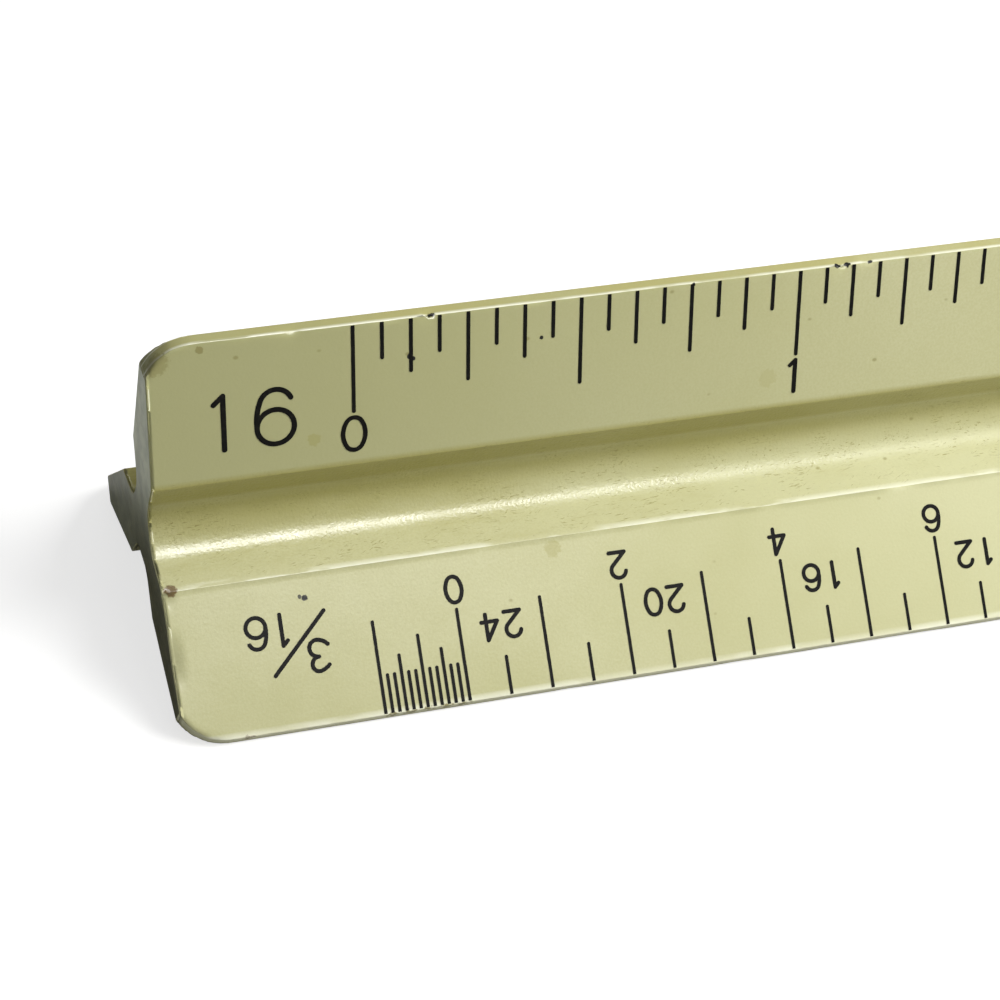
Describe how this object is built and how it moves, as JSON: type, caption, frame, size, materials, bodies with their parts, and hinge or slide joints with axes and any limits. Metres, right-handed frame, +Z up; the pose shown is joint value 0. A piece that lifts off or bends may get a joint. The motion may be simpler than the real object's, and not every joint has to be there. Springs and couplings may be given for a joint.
{
  "type": "triangular scale ruler",
  "caption": "Twelve-inch triangular architect's scale: a grooved three-armed bar with ink-filled graduations and figures for eleven scales on six faces.",
  "frame": {"origin": "middle of the resting side's outline, under the middle of the bar", "axes": "+X along the bar, in the reading direction of the upper front face; +Z up from the side it rests on; -Y is the front side"},
  "size_m": [0.327, 0.0222, 0.0192],
  "materials": {
    "bar_plastic": "aged cream plastic with a soft satin gloss",
    "black_ink": "matt black filling ink"
  },
  "bodies": {
    "root": {"lines_16": "black_ink", "lines_1_1_2_and_3": "black_ink", "lines_1_2_and_1": "black_ink", "lines_1_8_and_1_4": "black_ink", "lines_3_32_and_3_16": "black_ink", "lines_3_8_and_3_4": "black_ink", "mark_1": "black_ink", "mark_16": "black_ink", "mark_1_1_2": "black_ink", "mark_1_2": "black_ink", "mark_1_4": "black_ink", "mark_1_8": "black_ink", "mark_3": "black_ink", "mark_3_16": "black_ink", "mark_3_32": "black_ink", "mark_3_4": "black_ink", "mark_3_8": "black_ink", "numbers_1": "black_ink", "numbers_16": "black_ink", "numbers_1_1_2": "black_ink", "numbers_1_2": "black_ink", "numbers_1_4": "black_ink", "numbers_1_8": "black_ink", "numbers_3": "black_ink", "numbers_3_16": "black_ink", "numbers_3_32": "black_ink", "numbers_3_4": "black_ink", "numbers_3_8": "black_ink", "scale_body": "bar_plastic"}
  },
  "joints": []
}
